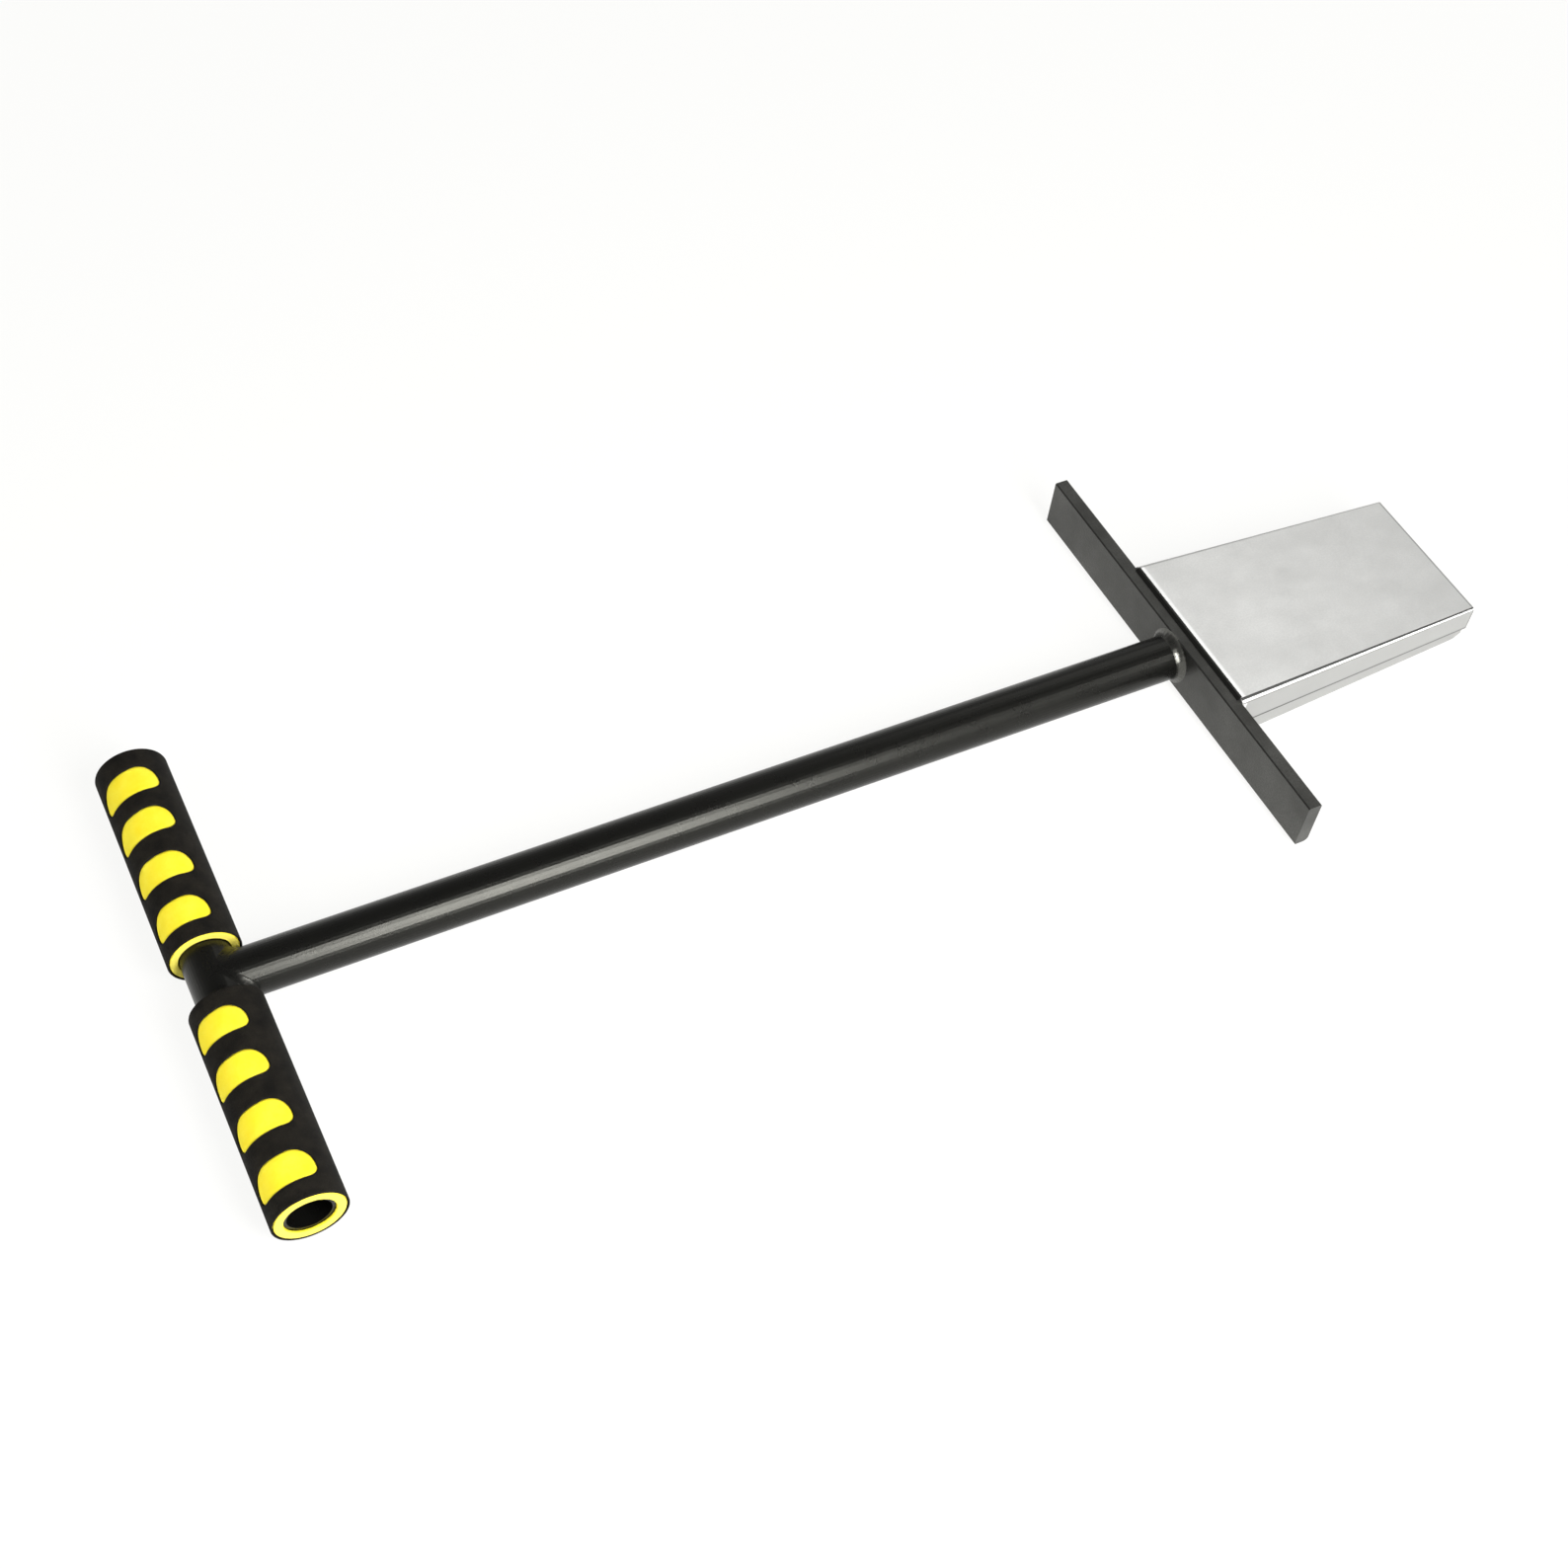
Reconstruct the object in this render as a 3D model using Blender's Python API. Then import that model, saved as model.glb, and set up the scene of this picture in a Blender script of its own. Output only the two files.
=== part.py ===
"""A soil profile probe: a T handle with foam grips, a shaft, a foot bar and a flat box blade with a hinged door.

Lengths are in metres. The tool lies flat: +X runs along the shaft from the handle to the mouth of the
blade, +Y along the handle and the foot bar, +Z up. The origin is at the middle of the tool's
outline, on the surface that it lies on. Every piece is modelled in the tool's own frame, whose
origin is where the axes of the shaft and the handle cross.
"""

import math

import bmesh
import bpy

# Gap kept between pieces that rest on each other
CLEARANCE = 0.0003

# Handle tube and shaft tube
TUBE_RADIUS = 0.0125
TUBE_WALL = 0.002
CROSSBAR_LENGTH = 0.2652
HANDLE_OFFSET = 0.002
SHAFT_REACH = 0.534

# Foam grips: a yellow sleeve with a black cover over it
LEFT_GRIP_INNER_END = 0.0142
RIGHT_GRIP_INNER_END = 0.0177
GRIP_OVERHANG = 0.0008
GRIP_RADIUS = 0.0181
COVER_WALL = 0.0008
SLEEVE_LIP_RADIUS = 0.0118
GRIP_EDGE_ROUNDING = 0.0025
SLEEVE_EDGE_ROUNDING = 0.0008

# Windows cut in the black cover, which show the yellow sleeve
WINDOW_COUNT = 4
WINDOW_WIDTH = 0.0345
WINDOW_DEPTH = 0.0162
WINDOW_CENTRE_ANGLE = math.radians(21)
FIRST_WINDOW = 0.0097
LAST_WINDOW_MARGIN = 0.0108

# Each rounded corner of a window, as shares of its width and of its depth
FRONT_FLAT_CORNER = (0.17, 0.28)
FRONT_CROWN_CORNER = (0.38, 0.68)
REAR_FLAT_CORNER = (0.06, 0.12)
REAR_CROWN_CORNER = (0.35, 0.74)

# Foot bar
FOOT_BAR_LENGTH = 0.255
FOOT_BAR_HEIGHT = 0.030
FOOT_BAR_THICKNESS = 0.008
FOOT_BAR_EDGE = 0.0006
FOOT_BAR_WORN_EDGE = 0.003

# Weld beads
HANDLE_BEAD_LEG = 0.0023
HANDLE_BEAD_REACH = 0.0036
HANDLE_BEAD_TOP_RISE = 0.0005
HANDLE_BEAD_LAP = 0.002
HANDLE_BEAD_SHAPE = ((0.0, 1.0), (0.3, 0.72), (0.62, 0.42), (1.0, 0.12))
SHAFT_BEAD_LEG = 0.0045
SHAFT_BEAD_RISE = 0.0023
SHAFT_BEAD_TOE = 0.0003
BLADE_BEAD_LEG = 0.0022
BLADE_BEAD_LAP = 0.0012

# Blade: a folded shell and the door that closes its underside
SHEET = 0.0015
ROOT_BEND = 0.0027
MOUTH_BEND = 0.0015
SMALLEST_INNER_BEND = 0.0003
BLADE_LENGTH = 0.1625
ROOT_HALF_WIDTH = 0.0537
MOUTH_HALF_WIDTH = 0.0456
ROOT_TOP = 0.0161
MOUTH_TOP = 0.0136
ROOT_SEAM = -0.0041
MOUTH_SEAM = -0.0023
ROOT_BOTTOM = -0.0194
MOUTH_BOTTOM = -0.0123
EDGE_BEVEL_LENGTH = 0.009
EDGE_THICKNESS = 0.0007

# Door and its pivot rivets
DOOR_SIDE_CLEARANCE = 0.0005
DOOR_FLANGE_LAP = 0.008
DOOR_ROOT_GAP = 0.0028
DOOR_CORNER_LENGTH = 0.006
DOOR_CORNER_RISE = 0.0042
PIVOT_FROM_BAR = 0.008
PIVOT_DROP = -0.0135
PIVOT_LUG_RADIUS = 0.0048
FLANGE_RISE_LENGTH = 0.016
EAR_LENGTH = 0.0125
EAR_CORNER_RADIUS = 0.0045
EAR_FLOOR_CLEARANCE = 0.0007
RIVET_RADIUS = 0.0025
RIVET_HOLE_CLEARANCE = 0.00008
RIVET_HEAD_RADIUS = 0.0042
RIVET_HEAD_HEIGHT = 0.0014
RIVET_TAIL_RADIUS = 0.0038
RIVET_TAIL_HEIGHT = 0.0011

# Facets
TUBE_FACETS = 48
GRIP_FACETS = 64
SMALL_FACETS = 24
CORNER_STEPS = 5
FILLET_STEPS = 5
WINDOW_COLUMNS = 24
SHARP_ANGLE = math.radians(30)
CUTTER_MARGIN = 0.004

# Places that follow from the sizes above
BAR_FRONT = SHAFT_REACH
BAR_BACK = BAR_FRONT + FOOT_BAR_THICKNESS
BLADE_ROOT = BAR_BACK + CLEARANCE
MOUTH = BLADE_ROOT + BLADE_LENGTH
HALF_BAR = FOOT_BAR_HEIGHT / 2
GRIP_OUTER_END = CROSSBAR_LENGTH / 2 + GRIP_OVERHANG
WINDOWED_LENGTH = GRIP_OUTER_END - LEFT_GRIP_INNER_END - FIRST_WINDOW - LAST_WINDOW_MARGIN
WINDOW_PITCH = (WINDOWED_LENGTH - WINDOW_DEPTH) / (WINDOW_COUNT - 1)
SIDE_SLOPE = (ROOT_HALF_WIDTH - MOUTH_HALF_WIDTH) / BLADE_LENGTH
PIVOT_X = BAR_BACK + PIVOT_FROM_BAR
COVER_BORE = GRIP_RADIUS - COVER_WALL
SLEEVE_RADIUS = COVER_BORE - CLEARANCE
SLEEVE_BORE = TUBE_RADIUS + CLEARANCE
AXIS_HEIGHT = max(GRIP_RADIUS, -ROOT_BOTTOM)
TOOL_CENTRE = (MOUTH - GRIP_RADIUS) / 2


def clear_scene():
    for obj in list(bpy.data.objects):
        bpy.data.objects.remove(obj, do_unlink=True)


def make_material(name, colour, roughness, metallic):
    material = bpy.data.materials.new(name)
    material.use_nodes = True
    shader = material.node_tree.nodes["Principled BSDF"]
    shader.inputs["Base Color"].default_value = (*colour, 1.0)
    shader.inputs["Roughness"].default_value = roughness
    shader.inputs["Metallic"].default_value = metallic
    material.diffuse_color = (*colour, 1.0)
    return material


def make_empty(name, location, parent=None):
    empty = bpy.data.objects.new(name, None)
    empty.location = location
    empty.parent = parent
    bpy.context.collection.objects.link(empty)
    return empty


def make_object(name, shape, material, parent):
    """Turns a bmesh, in the tool's frame, into an object whose origin is its parent's."""
    bmesh.ops.recalc_face_normals(shape, faces=shape.faces)
    mesh = bpy.data.meshes.new(name)
    shape.to_mesh(mesh)
    shape.free()
    mesh.shade_smooth()
    mesh.set_sharp_from_angle(angle=SHARP_ANGLE)
    obj = bpy.data.objects.new(name, mesh)
    obj.parent = parent
    bpy.context.collection.objects.link(obj)
    if material:
        mesh.materials.append(material)
    return obj


def make_cutter(name, shape, parent):
    cutter = make_object(name, shape, None, parent)
    cutter.hide_render = True
    cutter.display_type = "WIRE"
    return cutter


def apply_boolean(obj, cutter, operation="DIFFERENCE"):
    modifier = obj.modifiers.new(cutter.name, "BOOLEAN")
    modifier.operation = operation
    modifier.solver = "EXACT"
    modifier.object = cutter


def loft(sections):
    """A closed body through equal-length rings of points, with a face across each end."""
    shape = bmesh.new()
    rings = [[shape.verts.new(point) for point in section] for section in sections]
    for ring, after in zip(rings, rings[1:]):
        for i in range(len(ring)):
            j = (i + 1) % len(ring)
            shape.faces.new((ring[i], ring[j], after[j], after[i]))
    shape.faces.new(rings[0])
    shape.faces.new(rings[-1])
    return shape


def closed_loft(sections):
    """A ring-shaped body: the last section joins the first."""
    shape = bmesh.new()
    rings = [[shape.verts.new(point) for point in section] for section in sections]
    for k, ring in enumerate(rings):
        after = rings[(k + 1) % len(rings)]
        for i in range(len(ring)):
            j = (i + 1) % len(ring)
            shape.faces.new((ring[i], ring[j], after[j], after[i]))
    return shape


def turned(profile, axis, facets, centre=(0.0, 0.0, 0.0)):
    """A ring turned about an axis through centre, from a closed profile of (place on the axis, radius)."""
    sections = []
    for k in range(facets):
        angle = 2 * math.pi * k / facets
        section = []
        for along, radius in profile:
            across = radius * math.cos(angle)
            up = radius * math.sin(angle)
            offset = (along, across, up) if axis == "X" else (across, along, up)
            section.append([c + o for c, o in zip(centre, offset)])
        sections.append(section)
    return closed_loft(sections)


def turned_solid(profile, axis, facets, centre=(0.0, 0.0, 0.0)):
    """A full round body, from an open profile of (place on the axis, radius)."""
    sections = []
    for along, radius in profile:
        section = []
        for k in range(facets):
            angle = 2 * math.pi * k / facets
            across = radius * math.cos(angle)
            up = radius * math.sin(angle)
            offset = (along, across, up) if axis == "X" else (across, along, up)
            section.append([c + o for c, o in zip(centre, offset)])
        sections.append(section)
    return loft(sections)


def prism_along_y(outline, low, high):
    """An outline of (x, z) points, extruded from y = low to y = high."""
    return loft([[(x, low, z) for x, z in outline], [(x, high, z) for x, z in outline]])


def arc(centre, radius, start, end, steps):
    """Points on an arc, in degrees, both ends included."""
    points = []
    for k in range(steps + 1):
        angle = math.radians(start + (end - start) * k / steps)
        points.append((centre[0] + radius * math.cos(angle), centre[1] + radius * math.sin(angle)))
    return points


def between(root_value, mouth_value, x):
    """A blade size at x, which changes evenly from the root to the mouth."""
    share = (x - BLADE_ROOT) / BLADE_LENGTH
    return root_value + (mouth_value - root_value) * share


def build_crossbar(frame, steel):
    half = CROSSBAR_LENGTH / 2
    bore = TUBE_RADIUS - TUBE_WALL
    profile = [(-half, bore), (-half, TUBE_RADIUS), (half, TUBE_RADIUS), (half, bore)]
    make_object("crossbar_tube", turned(profile, "Y", TUBE_FACETS), steel, frame)


def build_shaft(frame, steel, crossbar_envelope):
    """The shaft's tube, coped at one end to sit on the handle tube."""
    end = BAR_FRONT - CLEARANCE
    bore = TUBE_RADIUS - TUBE_WALL
    profile = [(0.0, bore), (0.0, TUBE_RADIUS), (end, TUBE_RADIUS), (end, bore)]
    shaft = make_object("shaft_tube", turned(profile, "X", TUBE_FACETS), steel, frame)
    apply_boolean(shaft, crossbar_envelope)


def build_handle_weld(frame, steel, crossbar_envelope):
    """The fillet bead round the shaft's coped end, built in planes through the shaft's axis."""
    touching = TUBE_RADIUS + CLEARANCE
    sections = []
    for k in range(TUBE_FACETS):
        angle = 2 * math.pi * k / TUBE_FACETS
        toward_side = math.cos(angle) ** 2
        rise = HANDLE_BEAD_TOP_RISE + (HANDLE_BEAD_LEG - HANDLE_BEAD_TOP_RISE) * toward_side
        outer = []
        inner = []
        for share, swell in HANDLE_BEAD_SHAPE:
            radius = touching + CLEARANCE / 2 + rise * share
            across = radius * math.cos(angle)
            up = radius * math.sin(angle)
            tube_face = math.sqrt(max(touching**2 - up**2, 0.0))
            outer.append((tube_face + HANDLE_BEAD_REACH * swell, across, up))
            inner.append((tube_face - HANDLE_BEAD_LAP * (1 - 0.6 * share), across, up))
        sections.append(outer + inner[::-1])
    bead = make_object("handle_weld", closed_loft(sections), steel, frame)
    apply_boolean(bead, crossbar_envelope)


def build_shaft_weld(frame, steel):
    """The concave fillet bead between the shaft and the foot bar."""
    foot = BAR_FRONT - CLEARANCE
    inner = TUBE_RADIUS + CLEARANCE
    profile = [(foot, inner), (foot - SHAFT_BEAD_LEG, inner)]
    for k in range(FILLET_STEPS + 1):
        share = k / FILLET_STEPS
        rise = SHAFT_BEAD_TOE + (SHAFT_BEAD_RISE - SHAFT_BEAD_TOE) * share**2
        profile.append((foot - SHAFT_BEAD_LEG * (1 - share), inner + rise))
    make_object("shaft_weld", turned(profile, "X", TUBE_FACETS), steel, frame)


def grip_profile(inner, outer, inner_end, outer_end, rounding, lip):
    """A sleeve's closed profile of (y, radius), with rounded outer corners and an inward lip at outer_end."""
    side = 1 if outer_end > inner_end else -1
    low = (inner_end + side * rounding, outer - rounding)
    high = (outer_end - side * rounding, outer - rounding)
    profile = [(inner_end, inner)]
    for x, r in arc((0.0, 0.0), rounding, 180, 90, CORNER_STEPS):
        profile.append((low[0] + side * x, low[1] + r))
    for x, r in arc((0.0, 0.0), rounding, 90, 0, CORNER_STEPS):
        profile.append((high[0] + side * x, high[1] + r))
    if lip:
        tube_end = side * (CROSSBAR_LENGTH / 2 + CLEARANCE)
        profile.append((outer_end, lip))
        profile.append((tube_end, lip))
        profile.append((tube_end, inner))
    else:
        profile.append((outer_end, inner))
    return profile


def corner_cut(distance, corner):
    """How far a window's edge draws in at a distance from its side, for a corner's shares of width and depth."""
    across = corner[0] * WINDOW_WIDTH
    if distance >= across:
        return 0.0
    lost = 1 - distance / across
    return corner[1] * WINDOW_DEPTH * (1 - math.sqrt(1 - lost**2))


def window_cutter(name, flat_y, frame):
    """A D-shaped window's cutter, wrapped round the grip: flat towards -Y, rounded towards +Y."""
    lowest, highest = SLEEVE_RADIUS - CUTTER_MARGIN, GRIP_RADIUS + CUTTER_MARGIN
    sections = []
    for k in range(WINDOW_COLUMNS + 1):
        share = (1 - math.cos(math.pi * k / WINDOW_COLUMNS)) / 2
        from_front = share * WINDOW_WIDTH
        from_rear = WINDOW_WIDTH - from_front
        flat_cut = corner_cut(from_front, FRONT_FLAT_CORNER) + corner_cut(from_rear, REAR_FLAT_CORNER)
        crown_cut = corner_cut(from_front, FRONT_CROWN_CORNER) + corner_cut(from_rear, REAR_CROWN_CORNER)
        low = flat_y + flat_cut
        high = flat_y + WINDOW_DEPTH - crown_cut
        angle = WINDOW_CENTRE_ANGLE + (share - 0.5) * WINDOW_WIDTH / GRIP_RADIUS
        ring = []
        for y, radius in ((low, lowest), (low, highest), (high, highest), (high, lowest)):
            ring.append((-radius * math.sin(angle), y, radius * math.cos(angle)))
        sections.append(ring)
    return make_cutter(name, loft(sections), frame)


def build_grip(side, direction, inner_end, frame, black_foam, yellow_foam):
    """One foam grip: direction is +1 for the grip on the +Y end of the handle, -1 for the other."""
    inner_end = direction * inner_end
    outer_end = direction * GRIP_OUTER_END
    sleeve = grip_profile(
        SLEEVE_BORE, SLEEVE_RADIUS, inner_end, outer_end, SLEEVE_EDGE_ROUNDING, SLEEVE_LIP_RADIUS
    )
    make_object(f"{side}_grip_sleeve", turned(sleeve, "Y", GRIP_FACETS), yellow_foam, frame)
    rounding = min(GRIP_EDGE_ROUNDING, COVER_WALL * 0.9)
    cover = grip_profile(COVER_BORE, GRIP_RADIUS, inner_end, outer_end, rounding, None)
    cover_object = make_object(f"{side}_grip_cover", turned(cover, "Y", GRIP_FACETS), black_foam, frame)
    lower_end = min(inner_end, outer_end)
    for k in range(WINDOW_COUNT):
        flat_y = lower_end + FIRST_WINDOW + k * WINDOW_PITCH
        apply_boolean(cover_object, window_cutter(f"{side}_window_cutter_{k + 1}", flat_y, frame))


def build_foot_bar(frame, steel):
    """A flat bar on edge: its long edges are eased, and the lower one at the back is well rounded."""
    half_length = FOOT_BAR_LENGTH / 2
    ease = FOOT_BAR_EDGE
    worn = FOOT_BAR_WORN_EDGE
    outline = [(BAR_FRONT + ease, -HALF_BAR)]
    outline += arc((BAR_BACK - worn, worn - HALF_BAR), worn, -90, 0, CORNER_STEPS)
    outline += [
        (BAR_BACK, HALF_BAR - ease),
        (BAR_BACK - ease, HALF_BAR),
        (BAR_FRONT + ease, HALF_BAR),
        (BAR_FRONT, HALF_BAR - ease),
        (BAR_FRONT, -HALF_BAR + ease),
    ]
    make_object("foot_bar", prism_along_y(outline, -half_length, half_length), steel, frame)


def folded_section(x, half_width, flat, edge, outward, thickness):
    """A folded channel's closed section at x. flat is the sheet's outer level, edge where its sides end.

    outward is +1 where the flat is on top and -1 where it is below. thickness is the sheet's there, which
    the edge ground on the inside of the mouth makes less.
    """
    outer_radius = between(ROOT_BEND, MOUTH_BEND, x)
    inner_radius = max(outer_radius - SHEET, SMALLEST_INNER_BEND)
    inner_half = half_width - thickness
    inner_flat = flat - outward * thickness
    section = [(-half_width, edge)]
    centre = (-half_width + outer_radius, flat - outward * outer_radius)
    for y, z in arc((0.0, 0.0), outer_radius, 180, 90, CORNER_STEPS):
        section.append((centre[0] + y, centre[1] + outward * z))
    for y, z in arc((0.0, 0.0), outer_radius, 90, 0, CORNER_STEPS):
        section.append((-centre[0] + y, centre[1] + outward * z))
    section.append((half_width, edge))
    section.append((inner_half, edge))
    centre = (inner_half - inner_radius, inner_flat - outward * inner_radius)
    for y, z in arc((0.0, 0.0), inner_radius, 0, 90, CORNER_STEPS):
        section.append((centre[0] + y, centre[1] + outward * z))
    for y, z in arc((0.0, 0.0), inner_radius, 90, 180, CORNER_STEPS):
        section.append((-centre[0] + y, centre[1] + outward * z))
    section.append((-inner_half, edge))
    return [(x, y, z) for y, z in section]


def blade_stations(first):
    """Places along the blade where its section is given, with the sheet's thickness there."""
    return [(first, SHEET), (MOUTH - EDGE_BEVEL_LENGTH, SHEET), (MOUTH, EDGE_THICKNESS)]


def build_blade_shell(frame, stainless, rivet_hole):
    """The fixed part of the blade: the broad top, folded down at both sides, with an ear at each root."""
    low = ROOT_BOTTOM - CUTTER_MARGIN
    sections = []
    for x, thickness in blade_stations(BLADE_ROOT):
        half_width = between(ROOT_HALF_WIDTH, MOUTH_HALF_WIDTH, x)
        top = between(ROOT_TOP, MOUTH_TOP, x)
        sections.append(folded_section(x, half_width, top, low, 1, thickness))
    shell = make_object("blade_shell", loft(sections), stainless, frame)
    ear_end = BLADE_ROOT + EAR_LENGTH
    ear_bottom = -AXIS_HEIGHT + EAR_FLOOR_CLEARANCE
    seam = between(ROOT_SEAM, MOUTH_SEAM, ear_end)
    outline = [(BLADE_ROOT - CUTTER_MARGIN, ear_bottom)]
    corner = (ear_end - EAR_CORNER_RADIUS, ear_bottom + EAR_CORNER_RADIUS)
    outline += arc(corner, EAR_CORNER_RADIUS, -90, 0, CORNER_STEPS)
    outline.append((ear_end, seam))
    past_mouth = MOUTH + CUTTER_MARGIN
    outline.append((past_mouth, between(ROOT_SEAM, MOUTH_SEAM, past_mouth)))
    outline.append((past_mouth, ROOT_TOP + CUTTER_MARGIN))
    outline.append((BLADE_ROOT - CUTTER_MARGIN, ROOT_TOP + CUTTER_MARGIN))
    reach = ROOT_HALF_WIDTH + CUTTER_MARGIN
    side_outline = make_cutter("shell_outline", prism_along_y(outline, -reach, reach), frame)
    apply_boolean(shell, side_outline, "INTERSECT")
    apply_boolean(shell, rivet_hole)


def build_blade_weld(frame, steel):
    """The bead along the foot bar's back: over the blade's top edge and down both its sides."""
    top = ROOT_TOP + CLEARANCE
    bar_top = HALF_BAR + CLEARANCE
    lap = BAR_BACK + BLADE_BEAD_LAP
    start = BAR_BACK + CLEARANCE - BLADE_BEAD_LEG
    crest = ROOT_TOP + 2 * CLEARANCE
    hump = [
        (start, bar_top),
        (BAR_BACK + CLEARANCE / 3, bar_top),
        (BAR_BACK + CLEARANCE / 3, top),
        (lap, top),
        (lap - CLEARANCE, crest),
        (BAR_BACK - CLEARANCE, crest),
        (start + CLEARANCE, bar_top + CLEARANCE),
    ]
    reach = ROOT_HALF_WIDTH - ROOT_BEND
    make_object("blade_weld", prism_along_y(hump, -reach, reach), steel, frame)


def door_half_width(x):
    return between(ROOT_HALF_WIDTH, MOUTH_HALF_WIDTH, x) - SHEET - DOOR_SIDE_CLEARANCE


def build_blade_door(frame, stainless, rivet_hole):
    """The door: a shallow folded tray that closes the blade's underside and swings on the rivets."""
    pivot = make_empty("door_pivot", (PIVOT_X, 0.0, PIVOT_DROP), frame)
    first = BAR_BACK + DOOR_ROOT_GAP
    sections = []
    for x, thickness in blade_stations(first):
        bottom = between(ROOT_BOTTOM, MOUTH_BOTTOM, x)
        sections.append(folded_section(x, door_half_width(x), bottom, ROOT_TOP, -1, thickness))
    shape = loft(sections)
    bmesh.ops.translate(shape, verts=shape.verts, vec=(-PIVOT_X, 0.0, -PIVOT_DROP))
    door = make_object("blade_door", shape, stainless, pivot)
    flange_start = PIVOT_X + FLANGE_RISE_LENGTH
    past_mouth = MOUTH + CUTTER_MARGIN
    mouth_flange_top = MOUTH_TOP - SHEET - CLEARANCE
    below = ROOT_BOTTOM - CUTTER_MARGIN
    outline = [(PIVOT_X - PIVOT_LUG_RADIUS, below)]
    outline += arc((PIVOT_X, PIVOT_DROP), PIVOT_LUG_RADIUS, 180, 45, CORNER_STEPS)
    outline.append((flange_start, between(ROOT_SEAM, MOUTH_SEAM, flange_start) + DOOR_FLANGE_LAP))
    outline.append((MOUTH, mouth_flange_top))
    outline.append((past_mouth, mouth_flange_top))
    slope = DOOR_CORNER_RISE / DOOR_CORNER_LENGTH
    outline.append((past_mouth, MOUTH_BOTTOM + DOOR_CORNER_RISE + slope * CUTTER_MARGIN))
    outline.append((MOUTH - DOOR_CORNER_LENGTH - (MOUTH_BOTTOM - below) / slope, below))
    reach = ROOT_HALF_WIDTH + CUTTER_MARGIN
    side_outline = make_cutter("door_outline", prism_along_y(outline, -reach, reach), frame)
    apply_boolean(door, side_outline, "INTERSECT")
    apply_boolean(door, rivet_hole)


def build_rivet_hole(frame):
    """A rod on the pivot's axis, which cuts the rivet holes in the ears and in the door."""
    radius = RIVET_RADIUS + RIVET_HOLE_CLEARANCE
    reach = ROOT_HALF_WIDTH + CUTTER_MARGIN
    profile = [(-reach, radius), (reach, radius)]
    hole = turned_solid(profile, "Y", SMALL_FACETS, (PIVOT_X, 0.0, PIVOT_DROP))
    return make_cutter("rivet_hole", hole, frame)


def build_rivet(side, direction, frame, stainless):
    """A pivot rivet through one ear and the door's flange behind it."""
    wall = between(ROOT_HALF_WIDTH, MOUTH_HALF_WIDTH, PIVOT_X)
    flange_inside = door_half_width(PIVOT_X) - SHEET
    head = wall + CLEARANCE + SIDE_SLOPE * RIVET_HEAD_RADIUS
    tail = flange_inside - CLEARANCE - SIDE_SLOPE * RIVET_TAIL_RADIUS
    profile = [(tail - RIVET_TAIL_HEIGHT, RIVET_TAIL_RADIUS * 0.75)]
    profile.append((tail - RIVET_TAIL_HEIGHT * 0.6, RIVET_TAIL_RADIUS))
    profile.append((tail, RIVET_TAIL_RADIUS))
    profile.append((tail, RIVET_RADIUS))
    profile.append((head, RIVET_RADIUS))
    profile.append((head, RIVET_HEAD_RADIUS))
    for k in range(1, 4):
        angle = math.radians(24 * k)
        place = head + RIVET_HEAD_HEIGHT * math.sin(angle)
        profile.append((place, RIVET_HEAD_RADIUS * math.cos(angle)))
    profile = [(direction * along, radius) for along, radius in profile]
    rivet = turned_solid(profile, "Y", SMALL_FACETS, (PIVOT_X, 0.0, PIVOT_DROP))
    make_object(f"{side}_pivot_rivet", rivet, stainless, frame)


def build_crossbar_envelope(frame):
    """A rod a clearance larger than the handle tube, which shapes the shaft's cope and the weld bead."""
    radius = TUBE_RADIUS + CLEARANCE
    reach = 4 * TUBE_RADIUS
    rod = turned_solid([(-reach, radius), (reach, radius)], "Y", TUBE_FACETS)
    return make_cutter("crossbar_envelope", rod, frame)


def build():
    clear_scene()
    black_steel = make_material("black_powder_coat", (0.012, 0.012, 0.012), 0.42, 0.0)
    black_foam = make_material("black_foam", (0.014, 0.013, 0.012), 0.9, 0.0)
    yellow_foam = make_material("yellow_foam", (0.9, 0.78, 0.02), 0.75, 0.0)
    stainless = make_material("brushed_stainless", (0.62, 0.62, 0.60), 0.34, 1.0)
    frame = make_empty("tool_frame", (-TOOL_CENTRE, -HANDLE_OFFSET, AXIS_HEIGHT))
    handle = make_empty("handle_frame", (0.0, HANDLE_OFFSET, 0.0), frame)
    crossbar_envelope = build_crossbar_envelope(frame)
    rivet_hole = build_rivet_hole(frame)
    build_crossbar(handle, black_steel)
    build_shaft(frame, black_steel, crossbar_envelope)
    build_handle_weld(frame, black_steel, crossbar_envelope)
    build_shaft_weld(frame, black_steel)
    build_grip("left", 1, LEFT_GRIP_INNER_END, handle, black_foam, yellow_foam)
    build_grip("right", -1, RIGHT_GRIP_INNER_END, handle, black_foam, yellow_foam)
    build_foot_bar(frame, black_steel)
    build_blade_shell(frame, stainless, rivet_hole)
    build_blade_weld(frame, black_steel)
    build_blade_door(frame, stainless, rivet_hole)
    build_rivet("left", 1, frame, stainless)
    build_rivet("right", -1, frame, stainless)


build()
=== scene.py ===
"""The looks of the soil probe: finishes of every surface, the foam grips, a studio floor, lights and a camera.

Lengths are in metres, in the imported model's frame: +X along the shaft from the handle to the mouth
of the blade, +Y along the handle, +Z up, with the floor at z = 0. Colours are display values from 0
to 255, unless they are called linear.
"""

import math

import bmesh
import bpy
from mathutils import Matrix, Vector
from mathutils.geometry import delaunay_2d_cdt

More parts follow.
